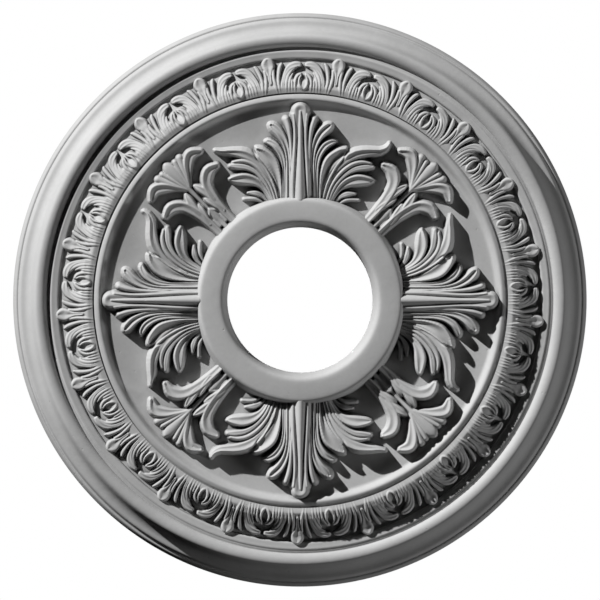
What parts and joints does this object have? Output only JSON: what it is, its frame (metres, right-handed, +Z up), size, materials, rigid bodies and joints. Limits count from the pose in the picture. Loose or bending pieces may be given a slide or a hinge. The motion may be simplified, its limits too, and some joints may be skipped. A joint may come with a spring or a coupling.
{
  "type": "ceiling rose",
  "caption": "Round classical ceiling rose with a clear centre hole and raised ring, acanthus leaves and palmettes on a flat field, a leaf band and a moulded rim.",
  "frame": {"origin": "centre of the flat back, in the plane of the ceiling and on the hole's axis", "axes": "+Z up into the ceiling along the hole's axis, the ornament faces down (-Z); +X and +Y each run along the middle of an acanthus leaf"},
  "size_m": [0.3906, 0.3906, 0.038],
  "materials": {
    "primed_casting": "matt factory primer over a smooth cast skin"
  },
  "bodies": {
    "root": {"ceiling_rose": "primed_casting"}
  },
  "joints": []
}
